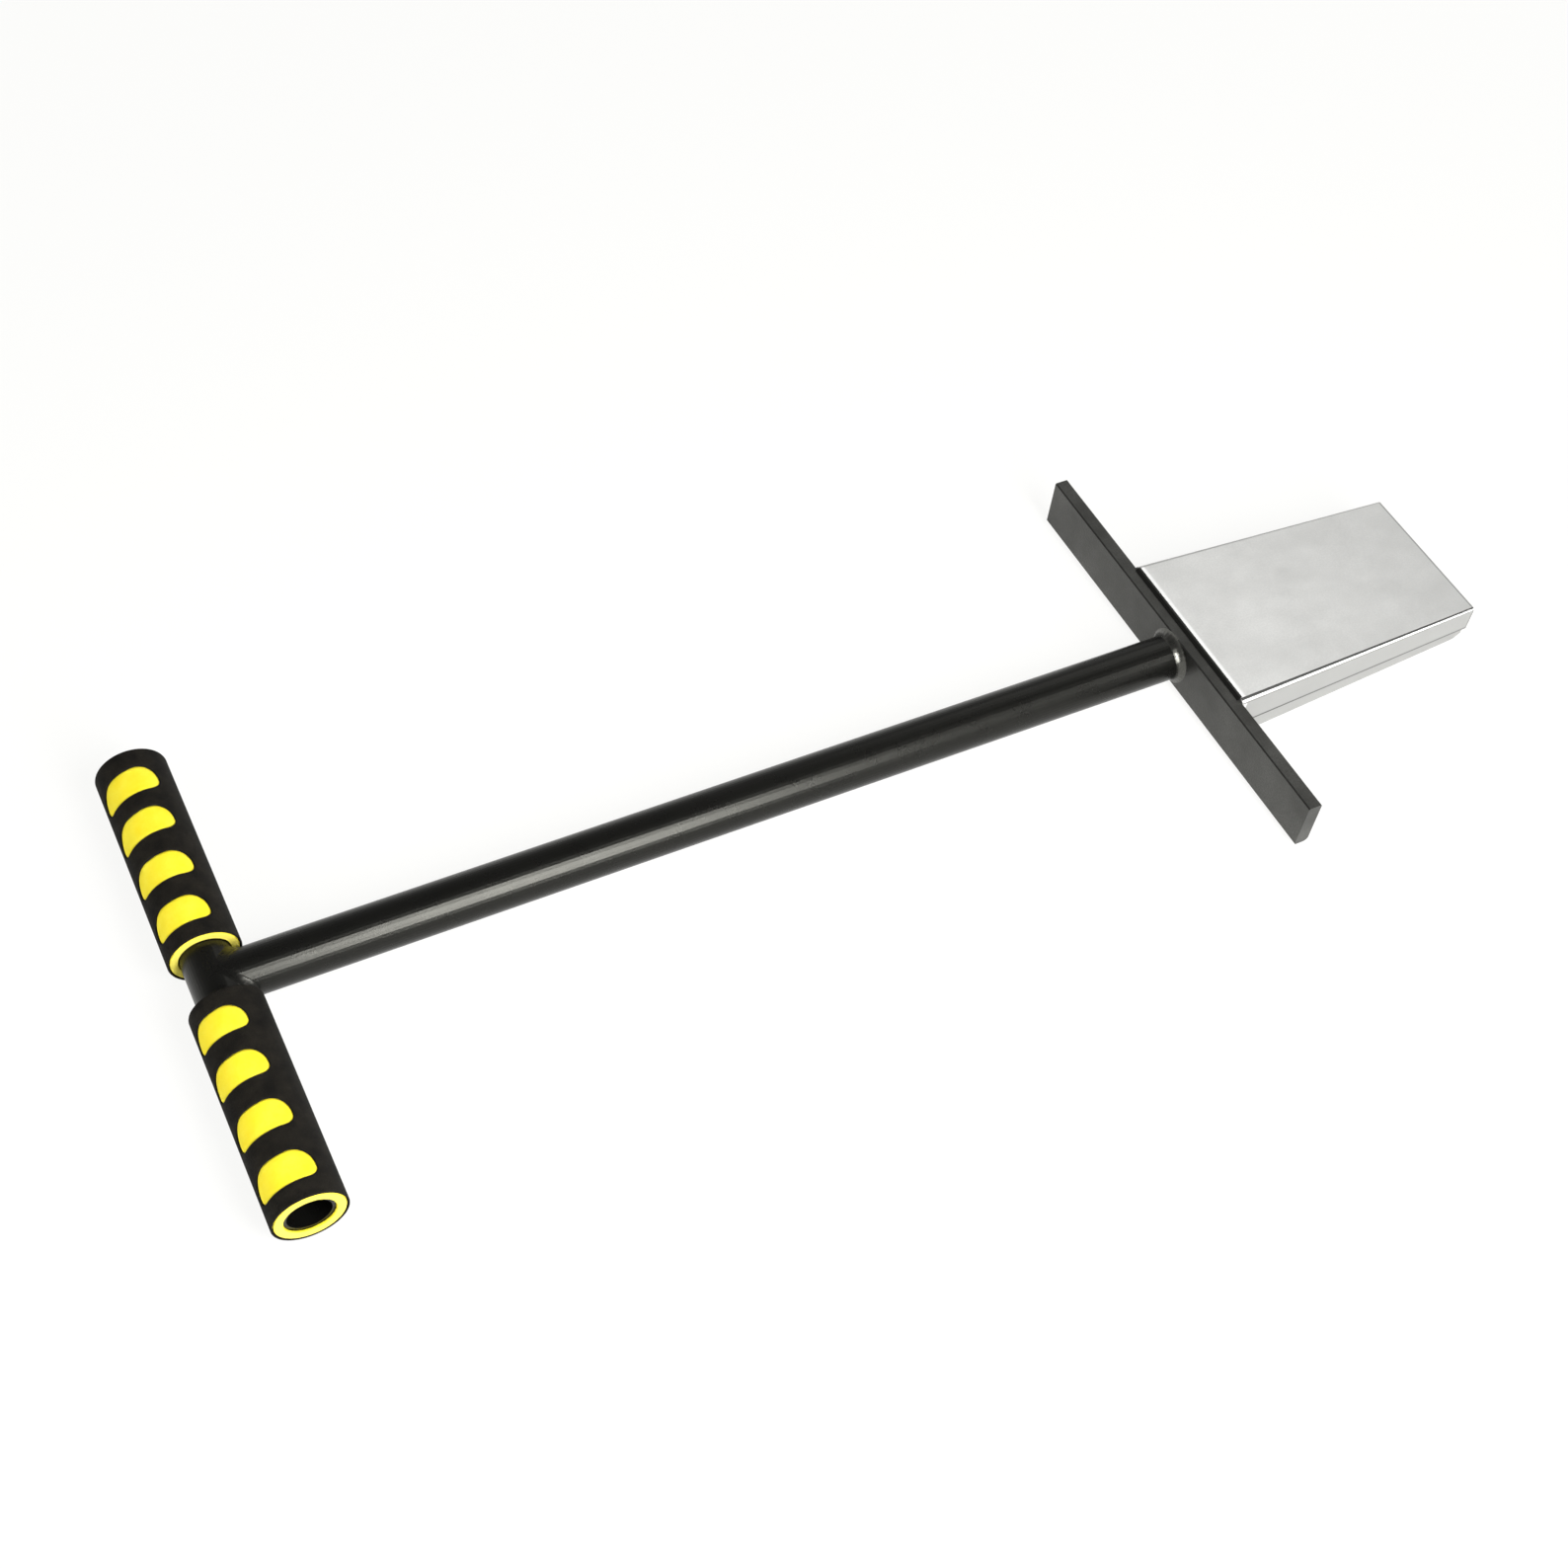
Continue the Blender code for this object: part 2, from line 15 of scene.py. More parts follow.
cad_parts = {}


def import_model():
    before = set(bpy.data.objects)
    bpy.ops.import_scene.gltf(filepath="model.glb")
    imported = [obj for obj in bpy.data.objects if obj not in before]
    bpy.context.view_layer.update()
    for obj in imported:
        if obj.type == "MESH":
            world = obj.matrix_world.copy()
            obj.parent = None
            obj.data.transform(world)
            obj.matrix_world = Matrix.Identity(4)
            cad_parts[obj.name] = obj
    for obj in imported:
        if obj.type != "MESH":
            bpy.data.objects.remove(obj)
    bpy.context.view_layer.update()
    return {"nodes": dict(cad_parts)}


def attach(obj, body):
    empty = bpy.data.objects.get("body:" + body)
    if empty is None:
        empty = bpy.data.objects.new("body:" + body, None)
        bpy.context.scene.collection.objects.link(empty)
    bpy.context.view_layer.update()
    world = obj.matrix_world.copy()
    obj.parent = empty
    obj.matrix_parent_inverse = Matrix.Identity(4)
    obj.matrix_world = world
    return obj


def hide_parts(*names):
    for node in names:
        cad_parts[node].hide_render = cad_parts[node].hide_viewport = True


# Where the axes of the shaft and the handle cross
HANDLE_X = -0.34335
SHAFT_Y = -0.002
AXIS_Z = 0.0194

# Foam grips: radii from the handle's axis, and places along it as distances from y = 0
GRIP_RADIUS = 0.0181
COVER_WALL = 0.0008
SLEEVE_RADIUS = 0.0168
SLEEVE_BORE = 0.0131
SLEEVE_LIP = 0.0121
PAD_RISE = 0.0008
LEFT_INNER_END = 0.0142
RIGHT_INNER_END = 0.0177
LEFT_OUTER_END = 0.1334
RIGHT_OUTER_END = 0.1340
SLEEVE_STEP = 0.1329
LIP_ROUNDING = 0.0006
END_ROUNDING = 0.0006
SLEEVE_ROUNDING = 0.0009

# The fold of a sleeve over the handle tube's end: its radius, and the least thickness that it leaves
LIP_FOLD = 0.0009
LIP_FOLD_REST = 0.0001
LIP_FOLD_STEPS = 6

# Windows in the black covers, from the -Y end of each grip: how far the flat side is from that end, the
# centre's angle in degrees towards -X, the width round the grip, the depth, and how much the +X end is ahead
LEFT_WINDOWS = (
    (0.0092, 21.9, 0.0332, 0.0157, 0.0004),
    (0.0367, 21.2, 0.0345, 0.0158, 0.0009),
    (0.0640, 22.0, 0.0350, 0.0161, 0.0030),
    (0.0906, 21.2, 0.0347, 0.0160, 0.0026),
)
RIGHT_WINDOWS = (
    (0.0093, 23.1, 0.0343, 0.0156, 0.0006),
    (0.0371, 24.9, 0.0331, 0.0157, 0.0011),
    (0.0658, 29.8, 0.0334, 0.0154, 0.0008),
    (0.0927, 31.4, 0.0322, 0.0148, 0.0001),
)

# A window's rounded corners, as shares of its width and depth: front is its +X end, rear its -X end
FRONT_FLAT_CORNER = (0.17, 0.28)
FRONT_CROWN_CORNER = (0.34, 0.65)
REAR_FLAT_CORNER = (0.14, 0.25)
REAR_CROWN_CORNER = (0.34, 0.72)

# The mesh of a grip's skin: its grid, its points along a window's edge, and the least distance of the grid
# from the rings round a window
SHEET_COLUMNS = 96
SHEET_ROWS = 40
OUTLINE_STEPS = 40
OUTLINE_SPACING = 0.0007
SHEET_CLEARANCE = 0.0006
MERGE_DISTANCE = 1e-7
SEAM_TOLERANCE = 1e-6
SEAM_ANGLE_TOLERANCE = 1e-4

# Rings of points outside a window's edge in the cover and inside it in the sleeve, and rows of points in
# from each end of either
COVER_RINGS = (0.0, 0.00012, 0.0003, LIP_ROUNDING)
COVER_END_ROWS = (0.0, 0.0002, END_ROUNDING, 2 * END_ROUNDING)
COVER_LARGEST_DROP = 0.85 * COVER_WALL
PAD_RINGS = (0.0, -0.00012, -0.0003, -0.00055, -0.0009)
SLEEVE_END_ROWS = (0.0, 0.00012, 0.0003, 0.0006, SLEEVE_ROUNDING)
FOAM_SMOOTH_ANGLE = 50.0

# Tubes
TUBE_RADIUS = 0.0125
SHAFT_FOOT = 0.534

# Weld beads at the shaft's ends: flatness is 0 for a hollow quarter circle and 1 for a flat slope
BEAD_ARC_STEPS = 10
BEAD_SUNK = 0.0007
BEAD_SMOOTH_ANGLE = 60.0
HANDLE_BEAD_STEPS = 240
HANDLE_BEAD_RADIUS = 0.0028
HANDLE_BEAD_STRETCH = 1.7
HANDLE_BEAD_LEAST_SHARE = 0.15
HANDLE_BEAD_GROWTH = 1.1
HANDLE_BEAD_FLATNESS = 0.45
HANDLE_BEAD_LIFT = 0.00012
SHAFT_BEAD_STEPS = 180
SHAFT_BEAD_LEG = 0.0044
SHAFT_BEAD_RISE = 0.0032
SHAFT_BEAD_FLATNESS = 0.2
SHAFT_BEAD_SUNK_IN_BAR = 0.00028

# The shaft bead's swell where the torch stopped, the angle of that place, and a slower unevenness
TORCH_SWELL = 0.10
TORCH_ANGLE = 0.9
UNEVEN_SWELL = 0.05

# Ripples of each bead, as their number round it and their height, and the finer wave over them
HANDLE_RIPPLES = (34, 0.00006)
SHAFT_RIPPLES = (30, 0.00008)
FINE_WAVE_SHARE = 0.45
FINE_WAVE_RATE = 2.3
FINE_WAVE_START = 1.1

# Blade: the x of its two ends, and the level of its side seam at each
ROOT_X = 0.19895
MOUTH_X = 0.36145
SEAM_AT_ROOT = 0.0153
SEAM_AT_MOUTH = 0.0171

# Foot bar: its two long upper edges, as (x, z)
BAR_EDGES = ((0.19065, 0.0344), (0.19865, 0.0344))

# The range that most of a noise lies in, and the share of a line's width that has its full colour
NOISE_LOW = 0.3
NOISE_HIGH = 0.7
LINE_CORE = 0.4

# Powder coat: the sizes of its marks
COAT_TONE_SIZE = 0.035
COAT_PATCH_SIZE = 0.012
PEEL_SIZE = 0.0016
PEEL_HEIGHT = 0.00003
COAT_EDGE_WIDTH = 0.0009
COAT_EDGE = (8, 8, 8)
COAT_GLEAM = (255, 254, 243)

# Foam: the sizes of its marks
FOAM_CLOUD_SIZE = 0.009
FOAM_SPECK_SIZE = 0.0009
PORE_SIZE = 0.0007
FOAM_SWELL_SIZE = 0.004
FOAM_SWELL_HEIGHT = 0.00008
FOAM_GLOSS = 0.15
SHEEN_ROUGHNESS = 0.5

# Stainless sheet: the sizes of its marks
STEEL_METALLIC = 0.8
STEEL_ROUGHNESS = 0.33
STEEL_SMOOTHEST = 0.31
STEEL_ROUGHEST = 0.37
STEEL_CLOUD_SIZE = 0.02
STEEL_FLECK_SIZE = 0.001
STEEL_PATCH_SIZE = 0.011
SCRATCH_SIZE = 0.0009
SCRATCH_HEIGHT = 0.000008
WAVE_SIZE = 0.03
WAVE_HEIGHT = 0.00007
# The width of the painted shade along the seam
SEAM_SHADE_WIDTH = 0.0017
ROOT_WHITE_WIDTH = 0.0038
ROOT_WHITE_CORE = 0.7 * ROOT_WHITE_WIDTH
# The length over which painted shade deepens towards the mouth
MOUTH_SHADE_LENGTH = 0.16
MOUTH_EDGE_WIDTH = 0.0012
MOUTH_EDGE_CORE = 0.0005

# Stainless sheet: the painted highlight along its folds and the painted dark reflections beside it, as the range
# of the normal's Z or Y that each covers and the soft step outside it
FOLD_HIGHLIGHT_BY_Z = (0.36, 0.82, 0.04)
LOWER_FOLD_SHADE_BY_Z = (0.1, 0.28, 0.04)
NEAR_FOLD_SHADE_BY_Y = (-0.51, -0.126, 0.01)
FAR_FOLD_SHADE_BY_Y = (0.126, 0.51, 0.01)

# Stainless sheet: its colours
STEEL = (220, 220, 217)
STEEL_DULL = (213, 213, 210)
STEEL_CLEAN = (228, 228, 225)
STEEL_FLECK = (188, 188, 186)
# Painted shade on the upright and downward faces
STEEL_UPRIGHT_SHADE = (172, 172, 170)
# Painted shade along the seam, under the upper sheet's edge
STEEL_SEAM_SHADE = (88, 88, 86)
# Painted shade, deepening towards the mouth
STEEL_MOUTH_SHADE = (186, 186, 184)
STEEL_MOUTH_EDGE = (150, 150, 148)
# A white strip along the root
STEEL_ROOT_WHITE = (255, 255, 253)
# A painted highlight along the folds
STEEL_FOLD_HIGHLIGHT = (251, 251, 249)
# Painted dark reflections beside the folds
STEEL_NEAR_FOLD_SHADE = (92, 92, 90)
STEEL_FAR_FOLD_SHADE = (196, 196, 194)
STEEL_LOWER_FOLD_SHADE = (150, 150, 147)

# Room: how much light comes from the horizon and from overhead, and how fast it falls between them
HORIZON_LEVEL = 0.6
ZENITH_LEVEL = 0.13
LEVEL_FALL = 1.3

# White backdrop: what the camera sees of the room, and the heights (as the z of a ray) up to which mirrored
# rays see it at full and from which they see the room instead
BACKDROP_LEVEL = 1.0
BACKDROP_TOP = (0.05, 0.2)

# Floor: the share of its white that is its own to the camera and to mirrored rays, which grows to 1 between
# two distances from the tool, and its linear colour there
FLOOR_GLOW = 0.9
GLOW_NEAR = 0.6
GLOW_FAR = 2.2
FLOOR_REACH = 40.0
FLOOR_WHITE = (1.0, 1.0, 0.985, 1.0)
PAPER = (250, 250, 249)
PAPER_DARK = (249, 249, 248)
PAPER_LIGHT = (251, 251, 250)
PAPER_FIBRE_SIZE = 0.02
PAPER_ROUGHNESS = 0.9
PAPER_GLOSS = 0.1

# Lamps: place, what each is aimed at, width and height, and watts
SHAFT_KEY = ((0.06, -0.93, 0.76), (-0.05, 0.0, 0.0), (0.5, 0.9), 29.0)
BEND_STRIP = ((1.15, -0.85, 0.85), (0.3, -0.05, 0.03), (0.36, 0.7), 4.0)
BLADE_BOX = ((1.35, 0.93, 1.45), (1.35, 0.93, 0.0), (1.1, 1.3), 4.1)
GRIP_FILL = ((-1.6, -0.3, 0.75), (-0.3, 0.0, 0.0), (1.2, 1.0), 10.0)

# Camera and its view of the tool
CAMERA_PLACE = (-0.429403, -0.602449, 0.916759)
CAMERA_RIGHT = (0.89135304, -0.4457016, 0.08270337)
CAMERA_DOWN = (-0.30510361, -0.72479622, -0.61772343)
CAMERA_FORWARD = (0.33526341, 0.52537656, -0.78203447)
CAMERA_LENS = 51.452
CAMERA_SENSOR = 36.0
CAMERA_NEAR_LIMIT = 0.01

# A colour mix node's sockets
MIX_SHARE = 0
MIX_FIRST = 6
MIX_SECOND = 7
MIX_RESULT = 2


def srgb(red, green, blue):
    """The linear colour of display values."""
    channels = []
    for value in (red, green, blue):
        share = value / 255
        channels.append(share / 12.92 if share <= 0.04045 else ((share + 0.055) / 1.055) ** 2.4)
    return (*channels, 1.0)


def feed(tree, socket, value):
    """Links a socket to an output, or sets it to a plain value."""
    if isinstance(value, bpy.types.NodeSocket):
        tree.links.new(value, socket)
    else:
        socket.default_value = value


def calculated(tree, operation, *values, clamp=False):
    node = tree.nodes.new("ShaderNodeMath")
    node.operation = operation
    node.use_clamp = clamp
    for socket, value in zip(node.inputs, values):
        feed(tree, socket, value)
    return node.outputs[0]


def ranged(tree, output, low, high, from_low=0.0, from_high=1.0):
    """A value brought from one range to another, and kept within it."""
    node = tree.nodes.new("ShaderNodeMapRange")
    feed(tree, node.inputs["Value"], output)
    feed(tree, node.inputs["From Min"], from_low)
    feed(tree, node.inputs["From Max"], from_high)
    feed(tree, node.inputs["To Min"], low)
    feed(tree, node.inputs["To Max"], high)
    return node.outputs["Result"]


def length_of(tree, vector):
    node = tree.nodes.new("ShaderNodeVectorMath")
    node.operation = "LENGTH"
    tree.links.new(vector, node.inputs[0])
    return node.outputs["Value"]


def parts_of(tree, vector):
    node = tree.nodes.new("ShaderNodeSeparateXYZ")
    tree.links.new(vector, node.inputs[0])
    return node.outputs


def mixed_shaders(tree, share, first, second):
    """The first shader where share is 0 and the second where it is 1."""
    node = tree.nodes.new("ShaderNodeMixShader")
    for socket, value in zip(node.inputs, (share, first, second)):
        tree.links.new(value, socket)
    return node.outputs[0]


def ray_kinds(tree):
    """Whether a ray is the camera's, and whether it is mirrored or passes through: 1 or 0 each."""
    path = tree.nodes.new("ShaderNodeLightPath")
    mirrored = calculated(tree, "MAXIMUM", path.outputs["Is Glossy Ray"], path.outputs["Is Transmission Ray"])
    return path.outputs["Is Camera Ray"], mirrored


class Material:
    """A Principled material, and short ways to add the nodes that drive it."""

    def __init__(self, name, colour, roughness, metallic=0.0):
        self.material = bpy.data.materials.new(name)
        self.material.use_nodes = True
        self.tree = self.material.node_tree
        self.shader = self.tree.nodes["Principled BSDF"]
        self.set("Base Color", srgb(*colour))
        self.set("Roughness", roughness)
        self.set("Metallic", metallic)
        self.material.diffuse_color = srgb(*colour)
        places = self.tree.nodes.new("ShaderNodeTexCoord").outputs
        self.coords = places["Object"]
        self.normal = places["Normal"]

    def set(self, socket, value):
        self.shader.inputs[socket].default_value = value

    def drive(self, socket, output):
        self.tree.links.new(output, self.shader.inputs[socket])

    def mapped(self, scale, location=(0.0, 0.0, 0.0)):
        """The object's coordinates, stretched along each axis and then moved."""
        mapping = self.tree.nodes.new("ShaderNodeMapping")
        mapping.inputs["Location"].default_value = location
        mapping.inputs["Scale"].default_value = scale
        self.tree.links.new(self.coords, mapping.inputs["Vector"])
        return mapping.outputs["Vector"]

    def noise(self, size, detail=3.0, roughness=0.5, scale=(1.0, 1.0, 1.0)):
        """Noise whose features are about size metres across, from 0 to 1."""
        node = self.tree.nodes.new("ShaderNodeTexNoise")
        node.inputs["Scale"].default_value = 1 / size
        node.inputs["Detail"].default_value = detail
        node.inputs["Roughness"].default_value = roughness
        self.tree.links.new(self.mapped(scale), node.inputs["Vector"])
        return node.outputs["Fac"]

    def cells(self, size):
        """The distance from the middles of cells that are about size metres across."""
        node = self.tree.nodes.new("ShaderNodeTexVoronoi")
        node.inputs["Scale"].default_value = 1 / size
        self.tree.links.new(self.coords, node.inputs["Vector"])
        return node.outputs["Distance"]

    def spread(self, output, low, high, from_low=NOISE_LOW, from_high=NOISE_HIGH):
        """A value brought from one range to another."""
        return ranged(self.tree, output, low, high, from_low, from_high)

    def mixed(self, share, first, second):
        """The first colour where share is 0 and the second where it is 1."""
        node = self.tree.nodes.new("ShaderNodeMix")
        node.data_type = "RGBA"
        feed(self.tree, node.inputs[MIX_SHARE], share)
        for socket, colour in ((MIX_FIRST, first), (MIX_SECOND, second)):
            feed(self.tree, node.inputs[socket], srgb(*colour) if isinstance(colour, tuple) else colour)
        return node.outputs[MIX_RESULT]

    def bump(self, height, distance, strength=1.0, under=None):
        """A normal bumped by a height, over another bumped normal where under gives one."""
        node = self.tree.nodes.new("ShaderNodeBump")
        node.inputs["Distance"].default_value = distance
        node.inputs["Strength"].default_value = strength
        self.tree.links.new(height, node.inputs["Height"])
        if under:
            self.tree.links.new(under, node.inputs["Normal"])
        return node.outputs["Normal"]

    def band(self, output, low, high, soft):
        """1 between low and high, and 0 a soft step outside them."""
        rise = self.spread(output, 0.0, 1.0, low - soft, low)
        fall = self.spread(output, 1.0, 0.0, high, high + soft)
        return calculated(self.tree, "MULTIPLY", rise, fall)

    def above_line(self, start, end, width):
        """1 up to a sloping line through two points (x, z), fading out above it."""
        (x_a, z_a), (x_b, z_b) = start, end
        slope = (z_b - z_a) / (x_b - x_a)
        parts = parts_of(self.tree, self.coords)
        level = calculated(self.tree, "ADD", parts["Z"], slope * x_a - z_a)
        above = calculated(self.tree, "MULTIPLY_ADD", parts["X"], -slope, level)
        return self.spread(above, 1.0, 0.0, LINE_CORE * width, width)


def powder_coat(
    name,
    dark,
    light,
    roughness,
    gloss,
    grit_size=0.0005,
    grit_height=0.00002,
    unevenness=0.045,
    ior=1.5,
    dark_edges=(),
):
    """Black powder coat: a fine orange peel, with slow changes of gloss and tone.

    dark_edges are long edges along Y, each given by its (x, z), where the coat is darker.
    """
    coat = Material(name, light, roughness)
    tone = coat.spread(coat.noise(COAT_TONE_SIZE, detail=4.0), 0.0, 1.0)
    grit = coat.noise(grit_size, detail=2.0, roughness=0.6)
    fleck = coat.spread(grit, 0.0, 0.6, from_low=0.35, from_high=0.65)
    colour = coat.mixed(fleck, coat.mixed(tone, dark, light), dark)
    for x, z in dark_edges:
        distance = length_of(coat.tree, coat.mapped((1.0, 0.0, 1.0), location=(-x, 0.0, -z)))
        near = coat.spread(distance, 1.0, 0.0, LINE_CORE * COAT_EDGE_WIDTH, COAT_EDGE_WIDTH)
        colour = coat.mixed(near, colour, COAT_EDGE)
    coat.drive("Base Color", colour)
    patches = coat.noise(COAT_PATCH_SIZE, detail=5.0, roughness=0.6)
    coat.drive("Roughness", coat.spread(patches, roughness - unevenness, roughness + unevenness))
    peel = coat.bump(coat.noise(PEEL_SIZE, detail=2.0), PEEL_HEIGHT)
    coat.drive("Normal", coat.bump(coat.noise(grit_size, detail=2.0), grit_height, under=peel))
    coat.set("Specular IOR Level", gloss)
    coat.set("IOR", ior)
    coat.set("Specular Tint", srgb(*COAT_GLEAM))
    return coat.material


def foam(name, dark, light, pore_depth, roughness, sheen, cut=None):
    """Closed cell foam: fine pores and a soft, slightly uneven colour. cut is the paler colour of its cut ends."""
    made = Material(name, light, roughness)
    cloud = made.spread(made.noise(FOAM_CLOUD_SIZE, detail=4.0, roughness=0.6), 0.0, 1.0)
    specks = made.noise(FOAM_SPECK_SIZE, roughness=0.7)
    speck = made.spread(specks, 0.0, 0.5, from_low=0.35, from_high=0.75)
    colour = made.mixed(speck, made.mixed(cloud, dark, light), dark)
    if cut:
        facing = calculated(made.tree, "ABSOLUTE", parts_of(made.tree, made.normal)["Y"])
        at_end = made.spread(facing, 0.0, 0.9, from_low=0.5, from_high=0.95)
        colour = made.mixed(at_end, colour, cut)
    made.drive("Base Color", colour)
    pores = made.bump(made.spread(made.cells(PORE_SIZE), 0.0, 1.0, from_low=0.05, from_high=0.5), pore_depth)
    made.drive("Normal", made.bump(made.noise(FOAM_SWELL_SIZE), FOAM_SWELL_HEIGHT, under=pores))
    made.set("Specular IOR Level", FOAM_GLOSS)
    made.set("Sheen Weight", sheen)
    made.set("Sheen Roughness", SHEEN_ROUGHNESS)
    return made.material


def shell_tints(steel, upward):
    """The marks of the blade's upper sheet, as pairs of where and what colour.

    Its lower edge has painted shade along the seam, and its root a white strip. Painted shade darkens it towards
    its mouth. Its folds have a painted highlight between painted dark reflections.
    """
    x = parts_of(steel.tree, steel.coords)["X"]
    sideways = parts_of(steel.tree, steel.normal)["Y"]
    seam = steel.above_line((ROOT_X, SEAM_AT_ROOT), (MOUTH_X, SEAM_AT_MOUTH), SEAM_SHADE_WIDTH)
    return [
        # Painted shade along the seam
        (seam, STEEL_SEAM_SHADE),
        # Painted shade, deeper towards the mouth
        (steel.spread(x, 0.0, 0.3, ROOT_X, ROOT_X + MOUTH_SHADE_LENGTH), STEEL_MOUTH_SHADE),
        (steel.spread(x, 0.0, 1.0, MOUTH_X - MOUTH_EDGE_WIDTH, MOUTH_X - MOUTH_EDGE_CORE), STEEL_MOUTH_EDGE),
        (steel.spread(x, 1.0, 0.0, ROOT_X + ROOT_WHITE_CORE, ROOT_X + ROOT_WHITE_WIDTH), STEEL_ROOT_WHITE),
        # A painted highlight along the folds
        (steel.band(upward, *FOLD_HIGHLIGHT_BY_Z), STEEL_FOLD_HIGHLIGHT),
        # Painted dark reflections beside the folds
        (steel.band(sideways, *NEAR_FOLD_SHADE_BY_Y), STEEL_NEAR_FOLD_SHADE),
        (steel.band(sideways, *FAR_FOLD_SHADE_BY_Y), STEEL_FAR_FOLD_SHADE),
        (steel.band(upward, *LOWER_FOLD_SHADE_BY_Z), STEEL_LOWER_FOLD_SHADE),
    ]


def sheet_steel(name, is_shell=False):
    """Cold rolled stainless sheet: cloudy handling marks, a faint grain, a few light scratches, painted shade on
    sides.
    """
    steel = Material(name, STEEL, STEEL_ROUGHNESS, STEEL_METALLIC)
    clouds = steel.noise(STEEL_CLOUD_SIZE, detail=5.0, roughness=0.55, scale=(0.7, 1.0, 1.0))
    colour = steel.mixed(steel.spread(clouds, 0.0, 1.0), STEEL_DULL, STEEL_CLEAN)
    upward = parts_of(steel.tree, steel.normal)["Z"]
    tints = [
        (steel.spread(steel.noise(STEEL_FLECK_SIZE, roughness=0.6), 0.0, 0.3), STEEL_FLECK),
        # Painted shade on the faces that do not face up
        (steel.spread(upward, 0.85, 0.0, from_low=0.02, from_high=0.1), STEEL_UPRIGHT_SHADE),
    ]
    if is_shell:
        tints += shell_tints(steel, upward)
    for share, tint in tints:
        colour = steel.mixed(share, colour, tint)
    steel.drive("Base Color", colour)
    patches = steel.noise(STEEL_PATCH_SIZE, detail=5.0, roughness=0.6)
    steel.drive("Roughness", steel.spread(patches, STEEL_SMOOTHEST, STEEL_ROUGHEST))
    scratches = steel.noise(SCRATCH_SIZE, detail=2.0, scale=(0.05, 1.0, 1.0))
    lines = steel.bump(scratches, SCRATCH_HEIGHT)
    waves = steel.noise(WAVE_SIZE, detail=2.0)
    steel.drive("Normal", steel.bump(waves, WAVE_HEIGHT, strength=0.5, under=lines))
    return steel.material


def new_piece(name, shape, material, body, smooth_angle):
    bmesh.ops.recalc_face_normals(shape, faces=shape.faces)
    mesh = bpy.data.meshes.new(name)
    shape.to_mesh(mesh)
    shape.free()
    mesh.shade_smooth()
    mesh.set_sharp_from_angle(angle=math.radians(smooth_angle))
    mesh.materials.append(material)
    piece = bpy.data.objects.new(name, mesh)
    bpy.context.collection.objects.link(piece)
    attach(piece, body)
    return piece


def bridge(shape, rings):
    """Joins each ring of vertices to the next with four-sided faces."""
    for ring, after in zip(rings, rings[1:]):
        for i in range(len(ring)):
            j = (i + 1) % len(ring)
            shape.faces.new((ring[i], ring[j], after[j], after[i]))


def drop_loose(shape):
    loose = [vert for vert in shape.verts if not vert.link_faces]
    bmesh.ops.delete(shape, geom=loose, context="VERTS")


def corner_cut(distance, corner, width, depth):
    """How much a rounded corner takes off a window's depth at a distance from its end."""
    across = corner[0] * width
    if distance >= across:
        return 0.0
    lost = 1 - distance / across
    return corner[1] * depth * (1 - math.sqrt(1 - lost**2))


def window_outline(low, window):
    """A window's outline, laid flat: (distance round the grip from the top, distance along it), anticlockwise."""
    along, centre, width, depth, skew = window
    first = math.radians(centre) * GRIP_RADIUS - width / 2

    def cut(across, back, front_corner, rear_corner):
        return corner_cut(across, front_corner, width, depth) + corner_cut(back, rear_corner, width, depth)

    flat, crown = [], []
    for k in range(OUTLINE_STEPS + 1):
        across = (1 - math.cos(math.pi * k / OUTLINE_STEPS)) / 2 * width
        back = width - across
        base = low + along + skew * back / width
        flat_cut = cut(across, back, FRONT_FLAT_CORNER, REAR_FLAT_CORNER)
        crown_cut = cut(across, back, FRONT_CROWN_CORNER, REAR_CROWN_CORNER)
        flat.append((first + across, base + flat_cut))
        crown.append((first + across, base + depth - crown_cut))
    return flat + crown[::-1]


def evenly(outline, spacing):
    """The same closed outline, with points spaced evenly along it."""
    loop = [Vector(point) for point in outline]
    lengths = [(b - a).length for a, b in zip(loop, loop[1:] + loop[:1])]
    total = sum(lengths)
    count = max(8, round(total / spacing))
    points = []
    index, done = 0, 0.0
    for k in range(count):
        target = total * k / count
        while done + lengths[index] < target:
            done += lengths[index]
            index += 1
        start, end = loop[index], loop[(index + 1) % len(loop)]
        share = (target - done) / lengths[index] if lengths[index] else 0.0
        points.append(start.lerp(end, share))
    return points


def offset_outward(points, distance):
    """An anticlockwise outline moved outward by a distance."""
    moved = []
    for before, here, after in zip(points[-1:] + points[:-1], points, points[1:] + points[:1]):
        along = (after - before).normalized()
        moved.append(here + Vector((along.y, -along.x)) * distance)
    return moved


def inside(spot, loop):
    hit = False
    for a, b in zip(loop, loop[1:] + loop[:1]):
        if (a.y > spot.y) != (b.y > spot.y):
            if spot.x < a.x + (spot.y - a.y) / (b.y - a.y) * (b.x - a.x):
                hit = not hit
    return hit


